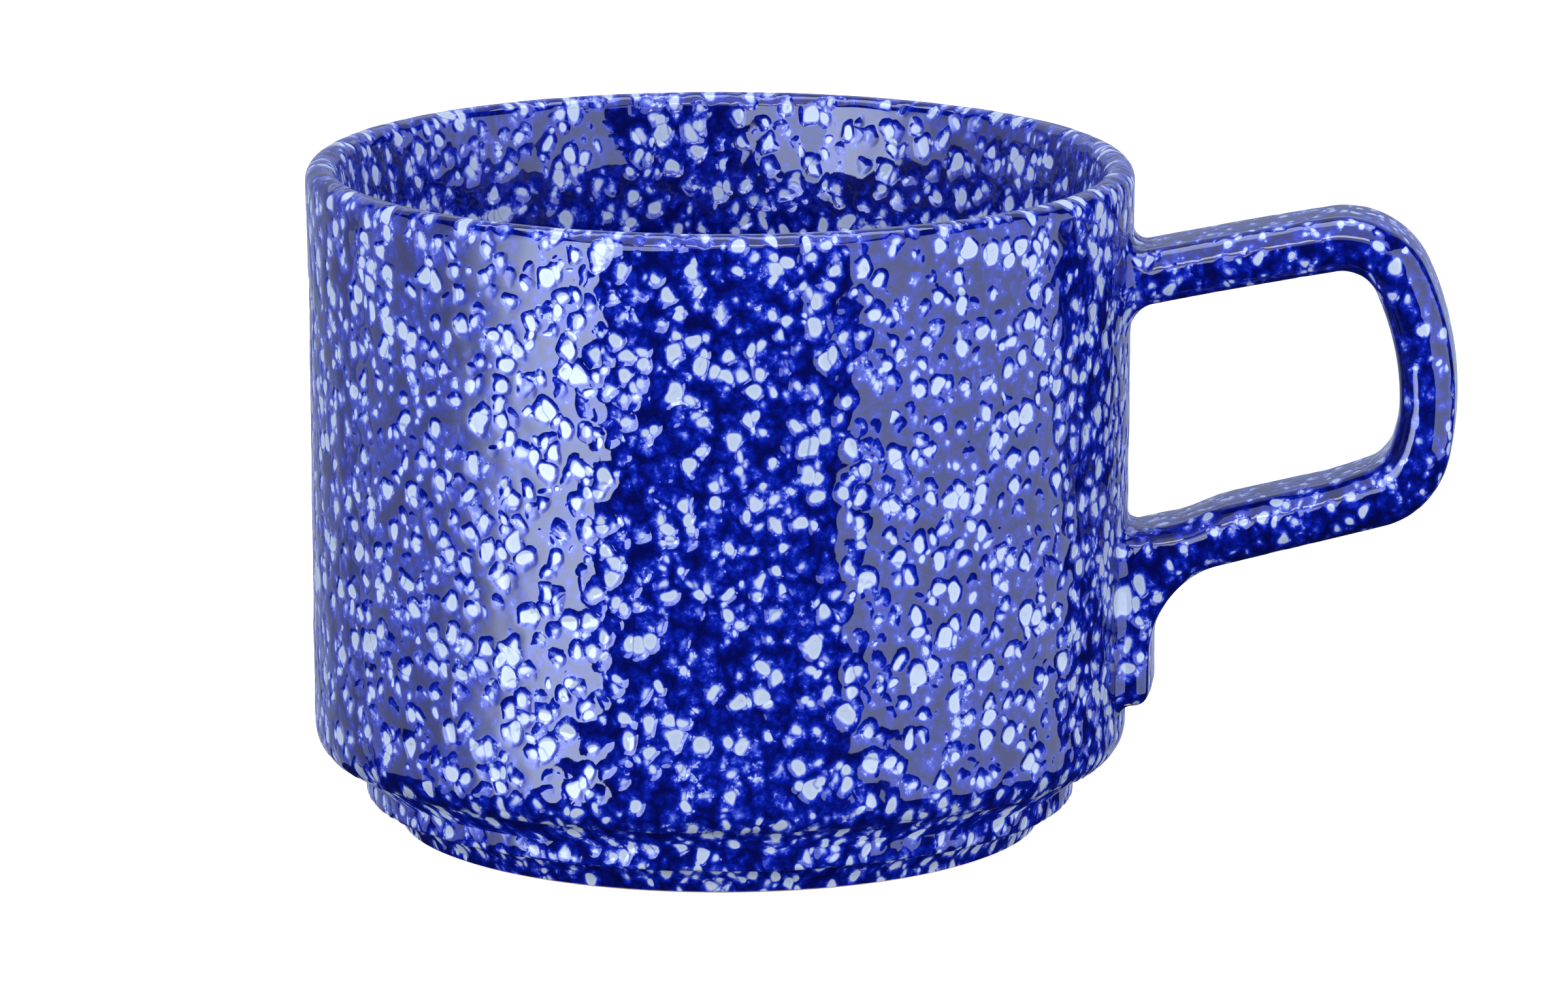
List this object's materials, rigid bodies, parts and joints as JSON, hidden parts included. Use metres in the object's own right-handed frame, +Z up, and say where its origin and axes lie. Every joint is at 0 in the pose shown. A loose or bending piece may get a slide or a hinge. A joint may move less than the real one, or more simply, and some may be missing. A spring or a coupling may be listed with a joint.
{
  "type": "mug",
  "caption": "Straight-sided stacking mug with a stepped foot and a broad strap loop handle, in a speckled cobalt glaze.",
  "frame": {"origin": "centre of the standing ring, on the table plane, on the cup's axis", "axes": "+Z up along the cup's axis, +X towards the handle, +Y to the left when the handle points away from the viewer"},
  "size_m": [0.126, 0.0906, 0.0736],
  "materials": {
    "clay": "bare fired stoneware, fine grained, seen only on the standing ring",
    "slip": "fired joining slip under the glaze",
    "glaze": "glossy cobalt glaze with pale blue-white pitted speckles",
    "liner": "the same glossy speckled cobalt glaze on the inside and over the lip"
  },
  "bodies": {
    "root": {"cup_body": "clay", "handle": "clay", "upper_joint_slip": "slip", "lower_joint_slip": "slip", "outer_glaze": "glaze", "liner_glaze": "liner", "handle_glaze": "glaze", "base_glaze": "glaze"}
  },
  "joints": []
}
